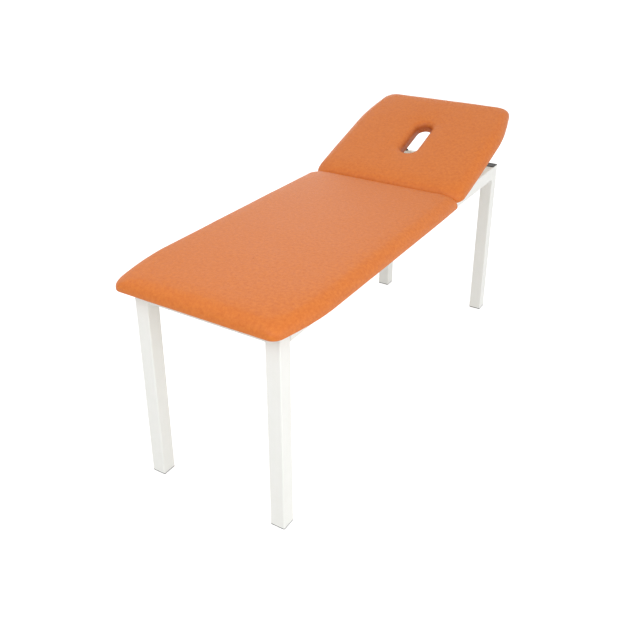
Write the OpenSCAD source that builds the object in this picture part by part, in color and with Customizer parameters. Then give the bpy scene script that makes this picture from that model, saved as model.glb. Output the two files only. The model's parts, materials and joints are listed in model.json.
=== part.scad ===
// Medical examination couch in two sections, in millimetres, +Z up, +Y towards the head end.
// A white square-tube frame carries a fixed body pad and a headrest with a face slot.
// The headrest tilts on two hinges and is held by two rods that slide through swivel blocks.
// The origin is on the floor, below the middle of the couch with its headrest raised to `tilt`.

/* [Frame] */
// Height of the top face of the frame above the floor
frame_h = 694; // [600:1:800]
// Outer width of the frame
frame_w = 530; // [470:1:600]
// Outer length of the frame
frame_l = 1692; // [1600:1:1800]
// Width of a square leg tube
leg_w = 51; // [38:1:60]
// Wall of every tube
tube_wall = 2; // [1.5:0.1:3]
// Outer corner radius of every tube
tube_r = 4; // [3.5:0.1:5]
// Height of a side rail
rail_h = 56; // [50:1:80]
// Thickness of a side rail
rail_t = 30; // [25:1:35]
// Height of a cross rail
cross_h = 47; // [30:1:60]
// Thickness of a cross rail
cross_t = 30; // [25:1:35]
// Distance from the hinge axis to the cross rail on the body side of it
hinge_rail_in = 100; // [90:1:200]

/* [Caps and glides] */
// Height of a leg cap above its tube
cap_h = 2.5; // [2:0.1:6]
// How far a leg cap stands in from the faces of its tube
cap_in = 1; // [0.5:0.1:2]
// Step around the top of a leg cap
cap_step = 1; // [0.5:0.1:1.5]
// Height of a glide below its tube
glide_h = 4; // [3:0.1:10]
// Step at the bottom edge of a glide
glide_step = 1.5; // [0.5:0.1:2]
// Depth of the ribbed plug on a cap or glide
plug_depth = 16; // [10:1:25]
// Ribs on a plug
plug_ribs = 3; // [2:1:4]
// Thickness of a rib on a plug
plug_rib_t = 1.5; // [1:0.1:2]
// How far the ribs stand out from the plug's core
plug_rib_out = 1.5; // [1:0.1:3]

/* [Pads] */
// Width of both pads at their widest
pad_w = 650; // [620:1:700]
// How far the body pad stands out past the foot end of the frame
foot_over = 59; // [40:1:90]
// Distance from the foot end of the frame to the hinge axis
hinge_at = 1117; // [1000:1:1150]
// Reach of the headrest from the hinge axis to its head end
head_reach = 652; // [620:1:700]
// Gap between the two pads at the hinge
pad_gap = 18; // [18:0.5:24]
// Thickness of a plywood board
board_t = 15; // [12:1:18]
// How far a board stands in from the edge of its cover
board_in = 4; // [3:0.5:8]
// Thickness of the cover
cover_t = 1.2; // [1:0.1:1.5]
// Width of the cover that is turned in under the board
turn_in = 30; // [20:1:45]
// Small chamfer where the cover turns under
fold = 2; // [1.5:0.1:3]
// Height of the upright part of a pad's edge
edge_up = 7; // [5:0.5:10]
// Width of the rounded shoulder of a pad
edge_w = 40; // [30:1:55]
// Height of the rounded shoulder of a pad
edge_rise = 38; // [36:1:48]
// Part of the shoulder's width that the two pads have where they face each other at the hinge
facing = 0.45; // [0.3:0.05:1]
// Rise of the crown from the shoulder to the middle
crown = 5; // [2:0.5:10]
// Share of the half width over which the crown of the body pad rises
crown_share = 0.6; // [0.5:0.05:0.7]
// Sideways draw of the body pad at the foot end
draw_foot = 37; // [10:1:45]
// Sideways draw of the body pad at the hinge
draw_body = 3; // [0:1:25]
// Sideways draw of the headrest at the hinge
draw_rest = 5; // [0:1:25]
// Sideways draw of the headrest at the head end
draw_head = 44; // [10:1:50]
// Sag of the top at the corners of the foot end
sag_foot = 11; // [0:0.5:12]
// Sag of the top at the corners of the head end
sag_head = 6.5; // [0:0.5:12]
// Length over which a pad's end is drawn in
draw_len = 250; // [150:1:300]
// Corner radius in plan of the foot end of the body pad
foot_corner_r = 28; // [20:1:45]
// Corner radius in plan of the body pad at the hinge
body_corner_r = 14; // [10:1:30]
// Corner radius in plan of the headrest at the hinge
rest_corner_r = 43; // [10:1:50]
// Corner radius in plan of the head end of the headrest
head_corner_r = 40; // [30:1:60]

/* [Face slot] */
// Clear width of the face slot
slot_w = 66; // [50:1:90]
// Clear length of the face slot
slot_l = 222; // [150:1:240]
// Distance from the hinge axis to the middle of the face slot
slot_at = 333; // [300:1:380]
// Width of the rounded rim of the slot
rim_w = 24; // [8:1:30]
// Height of the rounded rim of the slot
rim_drop = 24; // [10:1:28]

/* [Tilt] */
// Tilt of the headrest as drawn, in degrees from flat
tilt = 19.1; // [0:0.1:38]
// Highest tilt of the headrest, in degrees from flat
tilt_max = 40; // [30:1:40]

/* [Hinges] */
// Distance from a side rail to the end of a hinge
hinge_in = 3.5; // [3:0.5:20]
// Length of a hinge along its pin
hinge_len = 80; // [60:1:90]
// Reach of a hinge leaf from the pin's axis
leaf_w = 45; // [40:1:60]
// Thickness of a hinge leaf
leaf_t = 2.5; // [2:0.1:3]
// Outer radius of a hinge knuckle
knuckle_r = 5; // [4.8:0.1:5.5]
// Radius of a hinge pin
pin_r = 2.5; // [2:0.1:2.8]
// Knuckles on a hinge, shared between its two leaves
knuckles = 5; // [3:2:7]
// Gap between neighbouring knuckles
knuckle_gap = 0.5; // [0.3:0.1:1]

/* [Stays] */
// Distance from the hinge axis to the rod's pin, and to the swivel block
stay_r = 160; // [150:1:180]
// Angle at the hinge axis between pin and block with the headrest flat
stay_open = 14; // [13:0.5:18]
// Distance from the middle of the couch to a rod's axis
stay_x = 120; // [110:1:130]
// Drop of the rod's pin below the hinge axis with the headrest flat
pin_drop = 15; // [14:1:18]
// Radius of a rod
rod_r = 6; // [5:0.5:7]
// Outer radius of the eye of a rod
eye_r = 10; // [9:0.5:11]
// How much wider the eye is than its rod
eye_side = 2; // [1:0.5:3]
// Radius of the pin through the eye
eye_pin_r = 4; // [3:0.1:5]
// Side of a swivel block
block_s = 26; // [24:1:30]
// Radius of a swivel block's trunnion
trunnion_r = 6; // [5:0.1:7]
// Thickness of the ear that carries a swivel block
ear_t = 5; // [4:0.1:6]
// Thickness of the bracket that carries a rod's pin
bracket_t = 3; // [2:0.1:4]
// Radius of a clamp screw
clamp_r = 4; // [3:0.1:5]
// Length of the grip of a star knob
knob_l = 16; // [12:1:20]
// Radius from a star knob's axis to the middle of its lobes
knob_reach = 15; // [13:0.5:16]
// Radius of a lobe
lobe_r = 5; // [4:0.1:6]
// Lobes on a star knob
lobes = 5; // [5:1:6]
// Height of the stay rail
stay_rail_h = 30; // [25:1:40]
// Depth of the stay rail's top face below the top of the frame
stay_rail_low = 8; // [6:1:12]
// Gap between a swivel block's axis and the stay rail
stay_rail_gap = 26; // [24:1:32]

/* [Fasteners] */
// Distance of the bracket's screws from its ear
bracket_screw_out = 22; // [16:1:24]
// Distance from the middle of the couch to a board bolt
bolt_x = 150; // [120:1:190]
// Radius of a board bolt
bolt_r = 3; // [2.5:0.1:4]
// Radius of a rubber buffer
buffer_r = 12; // [10:0.5:14]
// Distance of the headrest's buffers from the middle
rest_buffer_x = 170; // [100:1:200]
// Step around the top of a buffer that the headrest lies on
buffer_step = 1; // [0.5:0.1:2]
// Radius of a wood screw's shank
screw_r = 2; // [1.5:0.1:2.2]
// Radius of a wood screw's head
screw_head_r = 4; // [3.5:0.1:4.5]
// Length of a wood screw under the face it holds
screw_l = 10; // [8:0.5:11]

/* [Clearances] */
// Clearance between a cover and what lies in it, and between parts that meet when flat
snug = 0.3; // [0.2:0.05:0.4]
// Clearance between a cover and its foam
foam_gap = 1.4; // [0.8:0.05:1.5]
// Radial clearance of pins, rods and trunnions in their bores
running = 0.1; // [0.05:0.01:0.1]
// Clearance of a fastener in its hole
loose = 0.3; // [0.2:0.05:0.5]

/* [Hidden] */
$fn = 48;
left = -1;
right = 1;
foot = -1;
head = 1;

// Heights of the boards and of the hinge axis: the turned-in cover clears the leg caps
seat = cap_h + cover_t + 2 * snug;
board_z = frame_h + seat;
// Heights in the hinge's own frame, whose origin is the hinge axis: the turned-in cover lies
// between the hinge leaves and the boards
pad_base = knuckle_r + snug;
board_low = pad_base + cover_t + snug;
board_top = board_low + board_t;
axis_z = board_z - board_low;
shoulder = edge_up + edge_rise;
foam_base = board_top - pad_base;
hinge_x = frame_w / 2 - rail_t - hinge_in - hinge_len / 2;

// The couch is centred over the origin between its foot edge and the raised head end
head_end = head_reach * cos(tilt) - (pad_base + fold) * sin(tilt);
foot_y = foot_over - (foot_over + hinge_at + head_end) / 2;
hinge_y = foot_y + hinge_at;
foot_rail_y = foot_y + cross_t / 2;
hinge_rail_y = hinge_y - hinge_rail_in;
middle_rail_y = (foot_rail_y + hinge_rail_y) / 2;
head_rail_y = foot_y + frame_l - cross_t / 2;
rail_l = frame_l - 2 * leg_w;
bolt_ys = [foot_rail_y, middle_rail_y, hinge_rail_y];

// Pads: half width, then place, corner radius, sideways draw, sag and share of the shoulder's width
// of the lower and of the upper end in Y
body_pad = [pad_w / 2, -hinge_at - foot_over, -pad_gap / 2, foot_corner_r, body_corner_r,
  draw_foot, draw_body, sag_foot, 0, 1, facing];
head_pad = [pad_w / 2, pad_gap / 2, head_reach, rest_corner_r, head_corner_r,
  draw_rest, draw_head, 0, sag_head, facing, 1];
// Width in from the edge over which the facing ends are like the others
facing_from = 4;
// Angles at which the shoulder and the slot's rim are drawn
shoulder_angles = [0:22.5:90];
rim_angles = [0, 45, 90];
// Points along a quarter of a pad's outline: side, corner and end
side_n = 4;
corner_n = 4;
end_n = 3;
quarter_n = side_n + corner_n + end_n;
// Growth of the corner radius with each millimetre that a ring lies inward
corner_grow = 1;
// Power by which the sag of a corner fades towards the middle of the pad
sag_power = 3;
// Steps of the crown, and how far its wave has turned at the last step
crown_steps = [0.3, 0.65];
body_wave = 90;
head_wave = 140;

// Stays: the pin turns with the headrest, and the block stays at its place on the frame
pin_at = sqrt(pow(stay_r, 2) - pow(pin_drop, 2));
block_angle = -asin(pin_drop / stay_r) - stay_open;
block_y = stay_r * cos(block_angle);
block_z = stay_r * sin(block_angle);
// The rod is square to the line that halves the angle between pin and block
rod_lean = block_angle + (stay_open + tilt) / 2;
stop_h = 6;
stop_gap = 1.5;
stop_out = 3;
rod_tail = 3;
reach_max = 2 * stay_r * sin((stay_open + tilt_max) / 2);
rod_l = reach_max + block_s / 2 + stop_gap + stop_h + rod_tail;
side_gap = 0.4;
eye_w = 2 * rod_r + eye_side;
ring_t = 1.2;
ring_out = 2.5;
groove = 0.5;
ear_x = block_s / 2 + side_gap;
ear_wall = 7;
ear_r = trunnion_r + ear_wall;
bracket_x = eye_w / 2 + side_gap;
bracket_flange = 34;
bracket_l = 40;
bracket_screw_y = 12;
bracket_screw_x = bracket_x + bracket_screw_out;
stay_rail_y = hinge_y + block_y + stay_rail_gap + cross_t / 2;
knob_hub_r = 9;
knob_hub_l = 7;
knob_core_r = 14;

// Fasteners
washer_t = 1.5;
washer_r = 7;
nut_r = 4;
nut_flange_r = 9;
nut_flange_t = 1.5;
nut_l = 9;
bolt_head_h = 4;
bolt_head_r = 5.8;
pan_head_h = 2.5;
hinge_screw_x = [-28, 0, 28];
hinge_screw_y = [22, 34, 22];
sink_h = 2;

// Mirrors what is drawn for the right side to the left side
module sided(side) {
  if (side == left) mirror([1, 0, 0]) children();
  else children();
}

// Puts what is drawn about the hinge axis on the frame
module at_hinge() {
  translate([0, hinge_y, axis_z]) children();
}

// Puts what is drawn about the hinge axis on the raised headrest
module on_headrest() {
  at_hinge() rotate([tilt, 0, 0]) children();
}

// Local frame of a rod at its pin, with +Z from the block to the pin
module at_pin(side) {
  sided(side) on_headrest() translate([stay_x, pin_at, -pin_drop])
    rotate([rod_lean - tilt, 0, 0]) children();
}

// Local frame of a swivel block, with +Z along the rod
module at_block(side) {
  sided(side) at_hinge() translate([stay_x, block_y, block_z]) rotate([rod_lean, 0, 0]) children();
}

// Cylinder along X from x0 to x1
module x_cylinder(r, x0, x1) {
  translate([x0, 0, 0]) rotate([0, 90, 0]) cylinder(r = r, h = x1 - x0);
}

// Rectangle with round corners
module round_rect(w, d, r) {
  square([w - 2 * r, d], center = true);
  square([w, d - 2 * r], center = true);
  for (sx = [-1, 1], sy = [-1, 1]) translate([sx * (w / 2 - r), sy * (d / 2 - r)]) circle(r);
}

// Section of a rectangular tube
module tube_section(w, d) {
  difference() {
    round_rect(w, d, tube_r);
    round_rect(w - 2 * tube_wall, d - 2 * tube_wall, tube_r - tube_wall);
  }
}

module leg(side, end) {
  x = side * (frame_w - leg_w) / 2;
  y = end == foot ? foot_y + leg_w / 2 : foot_y + frame_l - leg_w / 2;
  color("ivory") translate([x, y, glide_h]) linear_extrude(frame_h - glide_h) tube_section(leg_w, leg_w);
}

module side_rail(side) {
  color("ivory") translate([side * (frame_w - rail_t) / 2, foot_y + leg_w, frame_h - rail_h / 2])
    rotate([-90, 0, 0]) linear_extrude(rail_l) tube_section(rail_t, rail_h);
}

// Cross rail of a given length, with its top face at height top
module cross_tube(y, top, h, length) {
  translate([-length / 2, y, top - h / 2]) rotate([0, 90, 0]) linear_extrude(length) tube_section(h, cross_t);
}

// Cross rail with a hole for each board bolt
module bolted_rail(y, length) {
  color("ivory") difference() {
    cross_tube(y, frame_h, cross_h, length);
    for (side = [left, right]) translate([side * bolt_x, y, frame_h - cross_h - 1])
      cylinder(r = bolt_r + loose, h = cross_h + 2);
  }
}

module head_rail() {
  color("ivory") cross_tube(head_rail_y, frame_h, cross_h, frame_w - 2 * leg_w);
}

module stay_rail() {
  color("ivory") cross_tube(stay_rail_y, frame_h - stay_rail_low, stay_rail_h, frame_w - 2 * rail_t);
}

// Plug with ribs that fills a leg tube, from z = 0 upward
module ribbed_plug() {
  inner = leg_w - 2 * tube_wall - 2 * snug;
  core = inner - 2 * plug_rib_out;
  r = tube_r - tube_wall;
  linear_extrude(plug_depth) difference() {
    round_rect(core, core, r);
    round_rect(core - 4 * plug_rib_t, core - 4 * plug_rib_t, r);
  }
  for (i = [1:plug_ribs]) translate([0, 0, i * plug_depth / plug_ribs - plug_rib_t])
    linear_extrude(plug_rib_t) difference() {
      round_rect(inner, inner, r);
      round_rect(core - plug_rib_t, core - plug_rib_t, r);
    }
}

module leg_place(side, end) {
  y = end == foot ? foot_y + leg_w / 2 : foot_y + frame_l - leg_w / 2;
  translate([side * (frame_w - leg_w) / 2, y, 0]) children();
}

module glide(side, end) {
  color("#202022") leg_place(side, end) {
    linear_extrude(glide_h) round_rect(leg_w - 2 * glide_step, leg_w - 2 * glide_step, tube_r - glide_step);
    translate([0, 0, glide_step]) linear_extrude(glide_h - glide_step) round_rect(leg_w, leg_w, tube_r);
    translate([0, 0, glide_h]) ribbed_plug();
  }
}

module leg_cap(side, end) {
  w = leg_w - 2 * cap_in;
  r = tube_r - cap_in;
  color("#2a2c2b") leg_place(side, end) translate([0, 0, frame_h]) {
    linear_extrude(cap_h - cap_step) round_rect(w, w, r);
    linear_extrude(cap_h) round_rect(w - 2 * cap_step, w - 2 * cap_step, r - cap_step);
    mirror([0, 0, 1]) ribbed_plug();
  }
}

// Draw of a pad's side at a distance from an end that is drawn in by w
function draw(u, w) = u < draw_len ? w * pow(1 - max(u, 0) / draw_len, 2) : 0;

// Quarter of a rounded rectangle, from the middle of its side to the middle of its end
function quarter(hx, hy, r) = concat(
  [for (j = [0:side_n - 1]) [hx, (hy - r) * (1 - pow(1 - j / side_n, 2))]],
  [for (j = [0:corner_n - 1]) let (a = 90 * j / corner_n) [hx - r + r * cos(a), hy - r + r * sin(a)]],
  [for (j = [0:end_n]) [(hx - r) * (1 - j / end_n), hy]]);

// Quarter of a slot with round ends, with as many points
function slot_quarter(hx, hy) = concat(
  [for (j = [0:side_n - 1]) [hx, (hy - hx) * j / side_n]],
  [for (j = [0:corner_n + end_n]) let (a = 90 * j / (corner_n + end_n))
    [hx * cos(a), hy - hx + hx * sin(a)]]);

// Whole outline from its quarter at the foot end and its quarter at the head end
function whole(qf, qh) = let (m = quarter_n - 1) concat(
  [for (j = [0:m]) qh[j]],
  [for (j = [0:m]) [-qh[quarter_n - j][0], qh[quarter_n - j][1]]],
  [for (j = [0:m]) [-qf[j][0], -qf[j][1]]],
  [for (j = [0:m]) [qf[quarter_n - j][0], -qf[quarter_n - j][1]]]);

// Outline of a pad, drawn in at its corners, at a distance in from its sides and its two ends
function outline(pad, inset, low_in = undef, high_in = undef) = let (
    hx = pad[0] - inset,
    half = (pad[2] - pad[1]) / 2,
    rf = min(pad[3] + corner_grow * inset, 0.8 * hx),
    rh = min(pad[4] + corner_grow * inset, 0.8 * hx),
    low = quarter(hx, half - (is_undef(low_in) ? inset : low_in), rf),
    high = quarter(hx, half - (is_undef(high_in) ? inset : high_in), rh),
    ring = whole(low, high))
  [for (q = ring) let (w = q[1] < 0 ? pad[5] : pad[6])
    [q[0] * (1 - draw(half - abs(q[1]), w) / pad[0]), q[1] + (pad[1] + pad[2]) / 2]];

// Outline of the upholstery, which stands steeper where the pads face each other
function steep(inset, share) = min(inset, facing_from) + share * max(inset - facing_from, 0);
function soft_outline(pad, inset) = outline(pad, inset, steep(inset, pad[9]), steep(inset, pad[10]));

// Outline of the face slot, at a distance out from its clear edge
function slot_outline(out) = let (q = slot_quarter(slot_w / 2 + out, slot_l / 2 + out))
  [for (p = whole(q, q)) [p[0], p[1] + slot_at]];

// Ring at a height above a pad's base, lower near the pad's corners
function lift(pad, ring, z) = let (mid = (pad[1] + pad[2]) / 2, half = (pad[2] - pad[1]) / 2,
    share = max(z - foam_base, 0) / (shoulder - foam_base))
  [for (q = ring) let (u = half - abs(q[1] - mid), sag = q[1] < mid ? pad[7] : pad[8])
    [q[0], q[1], z + pad_base - share * draw(u, sag) * pow(abs(q[0]) / pad[0], sag_power)]];
function mix(a, b, q) = [for (i = [0:len(a) - 1]) a[i] * (1 - q) + b[i] * q];

// Shoulder of a pad: distance in from the edge and height above the base, at a depth below the skin
function shoulder_line(deep) = [for (a = shoulder_angles)
  [deep + (edge_w - deep) * (1 - cos(a)), edge_up + (edge_rise - deep) * sin(a)]];
function shoulder_rings(pad, deep) = [for (s = shoulder_line(deep)) lift(pad, soft_outline(pad, s[0]), s[1])];

// Crown of the body pad, from the shoulder to a flat middle
function body_crown(deep) = let (span = crown_share * pad_w / 2 - edge_w)
  [for (q = concat(crown_steps, [1]))
    lift(body_pad, soft_outline(body_pad, edge_w + q * span), shoulder - deep + crown * sin(body_wave * q))];

// Crown of the headrest, from the shoulder to the rim of the slot
function head_crown(deep) = let (a = soft_outline(head_pad, edge_w), b = slot_outline(rim_w))
  [for (q = crown_steps) lift(head_pad, mix(a, b, q), shoulder - deep + crown * sin(head_wave * q))];

// Rim of the slot, rounded down into its wall
function rim_rings(deep) = let (low = shoulder + crown * sin(head_wave) - rim_drop)
  [for (a = rim_angles)
    lift(head_pad, slot_outline(deep + (rim_w - deep) * (1 - sin(a))), low + (rim_drop - deep) * cos(a))];

function reversed(list) = [for (i = [len(list) - 1:-1:0]) list[i]];
function middle(ring) = [0, (ring[0][1] + ring[2 * quarter_n][1]) / 2, ring[0][2]];

// Skin over a chain of rings, closed on itself or with a flat end at each end of the chain
module skin(rings, closed) {
  n = len(rings[0]);
  m = len(rings);
  points = concat([for (ring = rings) for (p = ring) p],
    closed ? [] : [middle(rings[0]), middle(rings[m - 1])]);
  sides = [for (k = [0:closed ? m - 1 : m - 2], i = [0:n - 1], half = [0, 1])
    let (j = (i + 1) % n, up = (k + 1) % m)
    half == 0 ? [k * n + i, up * n + i, up * n + j] : [k * n + i, up * n + j, k * n + j]];
  ends = closed ? [] : [for (i = [0:n - 1], half = [0, 1]) let (j = (i + 1) % n, top = (m - 1) * n)
    half == 0 ? [m * n, i, j] : [m * n + 1, top + j, top + i]];
  polyhedron(points, concat(sides, ends));
}

// Cover: its outer face and its inner face, joined at the edge that is turned in under the board
function cover_outside(pad) = concat(
  [lift(pad, outline(pad, turn_in), 0), lift(pad, outline(pad, fold), 0), lift(pad, outline(pad, 0), fold)],
  shoulder_rings(pad, 0));
function cover_inside(pad) = concat(
  reversed(shoulder_rings(pad, cover_t)),
  [lift(pad, outline(pad, cover_t), cover_t), lift(pad, outline(pad, turn_in), cover_t)]);

module body_cover() {
  color("#dc8247") at_hinge() difference() {
    skin(concat(reversed(body_crown(cover_t)), cover_inside(body_pad), cover_outside(body_pad),
      body_crown(0)), false);
    hinge_screw_places(-1) cover_hole();
  }
}

module headrest_cover() {
  slot_low = lift(head_pad, slot_outline(0), 0);
  slot_low_inside = lift(head_pad, slot_outline(cover_t), 0);
  color("#dc8247") on_headrest() difference() {
    skin(concat(cover_outside(head_pad), head_crown(0), rim_rings(0), [slot_low, slot_low_inside],
      reversed(rim_rings(cover_t)), reversed(head_crown(cover_t)), cover_inside(head_pad)), true);
    hinge_screw_places(1) cover_hole();
  }
}

// Foam: it starts on the board's top face, where the shoulder has already begun to turn in
function foam_sides(pad, deep) = let (
    line = shoulder_line(deep),
    inset = lookup(foam_base, [for (s = line) [s[1], s[0]]]))
  concat([lift(pad, soft_outline(pad, inset), foam_base)],
    [for (s = line) if (s[1] > foam_base) lift(pad, soft_outline(pad, s[0]), s[1])]);

module body_foam() {
  deep = cover_t + foam_gap;
  color("#e9dfb8") at_hinge() skin(concat(foam_sides(body_pad, deep), body_crown(deep)), false);
}

module headrest_foam() {
  deep = cover_t + foam_gap;
  color("#e9dfb8") on_headrest() skin(concat(
    foam_sides(head_pad, deep), head_crown(deep), rim_rings(deep),
    [lift(head_pad, slot_outline(deep), foam_base)]), true);
}

// Hole for a hinge screw in the turned-in edge of a cover
module cover_hole() {
  translate([0, 0, knuckle_r]) cylinder(r = screw_r + loose, h = board_low - knuckle_r);
}

// Blind hole for a wood screw, up into a board
module pilot_hole() {
  translate([0, 0, board_low - 1]) cylinder(r = screw_r + running, h = screw_l + 1 + loose);
}

// Places of the hinge screws, with the given direction away from the hinge axis
module hinge_screw_places(way) {
  for (side = [left, right], i = [0:len(hinge_screw_x) - 1])
    translate([side * hinge_x + hinge_screw_x[i], way * hinge_screw_y[i], 0]) children();
}

module bracket_screw_places() {
  for (side = [left, right], y = [-bracket_screw_y, bracket_screw_y])
    translate([side * (stay_x + bracket_screw_x), pin_at + y, 0]) children();
}

module bolt_places() {
  for (side = [left, right], y = bolt_ys) translate([side * bolt_x, y, 0]) children();
}

module body_board() {
  color("burlywood") difference() {
    at_hinge() translate([0, 0, board_low]) linear_extrude(board_t) polygon(outline(body_pad, board_in));
    bolt_places() translate([0, 0, board_z - 1]) cylinder(r = nut_r + loose, h = board_t + 2);
    bolt_places() translate([0, 0, board_z + board_t - nut_flange_t - loose])
      cylinder(r = nut_flange_r + loose, h = nut_flange_t + loose + 1);
    at_hinge() hinge_screw_places(-1) pilot_hole();
  }
}

module headrest_board() {
  hx = slot_w / 2 + cover_t + 2 * snug;
  hy = slot_l / 2 + cover_t + 2 * snug;
  color("burlywood") on_headrest() difference() {
    translate([0, 0, board_low]) linear_extrude(board_t) difference() {
      polygon(outline(head_pad, board_in));
      translate([0, slot_at]) {
        square([2 * hx, 2 * (hy - hx)], center = true);
        for (way = [-1, 1]) translate([0, way * (hy - hx)]) circle(hx);
      }
    }
    hinge_screw_places(1) pilot_hole();
    bracket_screw_places() pilot_hole();
  }
}

// Leaf towards +Y, with the knuckles whose number leaves the given remainder by two
module hinge_leaf(remainder) {
  pitch = hinge_len / knuckles;
  back = knuckle_r + 2 * knuckle_gap;
  difference() {
    union() {
      translate([-hinge_len / 2, back, knuckle_r - leaf_t]) cube([hinge_len, leaf_w - back, leaf_t]);
      for (i = [0:knuckles - 1]) if (i % 2 == remainder) {
        x0 = -hinge_len / 2 + i * pitch + (i == 0 ? 0 : knuckle_gap / 2);
        x1 = -hinge_len / 2 + (i + 1) * pitch - (i == knuckles - 1 ? 0 : knuckle_gap / 2);
        x_cylinder(knuckle_r, x0, x1);
        translate([x0, 0, knuckle_r - leaf_t]) cube([x1 - x0, back + 1, leaf_t]);
      }
    }
    x_cylinder(pin_r + running, -hinge_len, hinge_len);
    for (i = [0:len(hinge_screw_x) - 1]) translate([hinge_screw_x[i], hinge_screw_y[i], knuckle_r - leaf_t]) {
      translate([0, 0, -1]) cylinder(r = screw_r + loose, h = leaf_t + 2);
      translate([0, 0, -loose])
        cylinder(r1 = screw_head_r + 2 * loose, r2 = screw_r + loose, h = sink_h + loose);
    }
  }
}

module hinge_leaf_fixed(side) {
  color("silver") sided(side) at_hinge() translate([hinge_x, 0, 0]) mirror([0, 1, 0]) hinge_leaf(0);
}

module hinge_leaf_moving(side) {
  color("silver") sided(side) on_headrest() translate([hinge_x, 0, 0]) hinge_leaf(1);
}

module hinge_pin(side) {
  head_t = 1.5;
  color("gray") sided(side) at_hinge() translate([hinge_x, 0, 0]) {
    x_cylinder(pin_r, -hinge_len / 2 - snug, hinge_len / 2 + snug);
    for (way = [0, 1]) mirror([way, 0, 0])
      x_cylinder(pin_r + 1, hinge_len / 2 + snug, hinge_len / 2 + snug + head_t);
  }
}

// Countersunk wood screw, upward from the underside of a hinge leaf
module sunk_screw() {
  translate([0, 0, knuckle_r - leaf_t]) {
    cylinder(r1 = screw_head_r, r2 = screw_r, h = sink_h);
    cylinder(r = screw_r, h = board_low - knuckle_r + leaf_t + screw_l);
  }
}

module hinge_screws_fixed() {
  color("silver") at_hinge() hinge_screw_places(-1) sunk_screw();
}

module hinge_screws_moving() {
  color("silver") on_headrest() hinge_screw_places(1) sunk_screw();
}

module board_bolts() {
  low = frame_h - cross_h - washer_t;
  color("silver") bolt_places() {
    translate([0, 0, low - bolt_head_h]) cylinder(r = bolt_head_r, h = bolt_head_h, $fn = 6);
    translate([0, 0, low]) cylinder(r = bolt_r, h = board_z + board_t - nut_flange_t - low);
  }
}

module board_washers() {
  color("silver") bolt_places() translate([0, 0, frame_h - cross_h - washer_t])
    washer(washer_r, bolt_r + loose, washer_t);
}

module washer(r, hole, t) {
  difference() {
    cylinder(r = r, h = t);
    translate([0, 0, -1]) cylinder(r = hole, h = t + 2);
  }
}

module board_t_nuts() {
  top = board_z + board_t;
  color("goldenrod") bolt_places() difference() {
    union() {
      translate([0, 0, top - nut_flange_t]) cylinder(r = nut_flange_r, h = nut_flange_t);
      translate([0, 0, top - nut_l]) cylinder(r = nut_r, h = nut_l);
    }
    translate([0, 0, top - nut_l - 1]) cylinder(r = bolt_r + running, h = nut_l + 2);
  }
}

module board_buffers() {
  color("#303030") bolt_places() translate([0, 0, frame_h]) washer(buffer_r, bolt_r + 2 * loose, seat);
}

// Buffers on the head cross rail, which the headrest lies on when it is flat
module rest_buffers() {
  color("#303030") for (side = [left, right]) translate([side * rest_buffer_x, head_rail_y, frame_h]) {
    cylinder(r = buffer_r, h = seat - snug - buffer_step);
    cylinder(r = buffer_r - buffer_step, h = seat - snug);
  }
}

// Point just inside the round end of an ear, where a straight edge from a corner meets it
function ear_edge(corner, way) = let (a = atan2(corner[1], corner[0]) + way * acos(ear_r / norm(corner)))
  (ear_r - running) * [cos(a), sin(a)];

// Ear that hangs from the stay rail and carries a swivel block's trunnion
module stay_ear(side) {
  rail_face = stay_rail_gap;
  rail_top = frame_h - stay_rail_low - axis_z - block_z;
  rail_low = rail_top - stay_rail_h;
  foot_l = cross_t * 2 / 3;
  top_corner = [rail_face, rail_top - tube_r];
  low_corner = [rail_face + foot_l, rail_low - tube_r];
  color("ivory") sided(side) at_hinge() translate([stay_x + ear_x, block_y, block_z]) difference() {
    union() {
      x_cylinder(ear_r, 0, ear_t);
      rotate([90, 0, 90]) linear_extrude(ear_t) polygon([ear_edge(top_corner, 1), top_corner,
        [rail_face, rail_low], [rail_face + foot_l, rail_low], low_corner, ear_edge(low_corner, -1)]);
    }
    x_cylinder(trunnion_r + running, -1, ear_t + 1);
  }
}

// Bracket under the headrest board: a flange and an ear with the pin's hole
module rod_bracket(side) {
  low = board_low - bracket_t;
  color("silver") sided(side) on_headrest() translate([stay_x + bracket_x, pin_at, 0]) difference() {
    union() {
      translate([0, -bracket_l / 2, low]) cube([bracket_flange, bracket_l, bracket_t]);
      translate([0, 0, -pin_drop]) rotate([90, 0, 90]) linear_extrude(bracket_t) {
        circle(eye_r);
        polygon([[-eye_r, 0], [eye_r, 0], [bracket_l / 2, pin_drop + low], [-bracket_l / 2, pin_drop + low]]);
      }
    }
    translate([0, 0, -pin_drop]) x_cylinder(eye_pin_r + running, -1, bracket_t + 1);
    for (y = [-bracket_screw_y, bracket_screw_y]) translate([bracket_screw_x - bracket_x, y, low - 1])
      cylinder(r = screw_r + loose, h = bracket_t + 2);
  }
}

module bracket_screws() {
  low = board_low - bracket_t;
  color("silver") on_headrest() bracket_screw_places() {
    translate([0, 0, low - pan_head_h]) cylinder(r = screw_head_r, h = pan_head_h);
    translate([0, 0, low]) cylinder(r = screw_r, h = bracket_t + screw_l);
  }
}

// Pin through the eye, with a head outside the bracket and a ring inside the eye
module rod_pin(side) {
  head_t = 2;
  x_ring = -eye_w / 2 - side_gap - ring_t;
  color("gray") sided(side) on_headrest() translate([stay_x, pin_at, -pin_drop]) {
    x_cylinder(eye_pin_r, -eye_w / 2 - side_gap, bracket_x + bracket_t + side_gap);
    x_cylinder(eye_pin_r + 2, bracket_x + bracket_t + side_gap, bracket_x + bracket_t + side_gap + head_t);
    x_cylinder(eye_pin_r - groove, x_ring - ring_t, -eye_w / 2);
    x_cylinder(eye_pin_r, x_ring - 2 * ring_t, x_ring - running);
    difference() {
      x_cylinder(eye_pin_r + ring_out, x_ring, x_ring + ring_t - running);
      x_cylinder(eye_pin_r - groove + running, x_ring - 1, 0);
    }
  }
}

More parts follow.
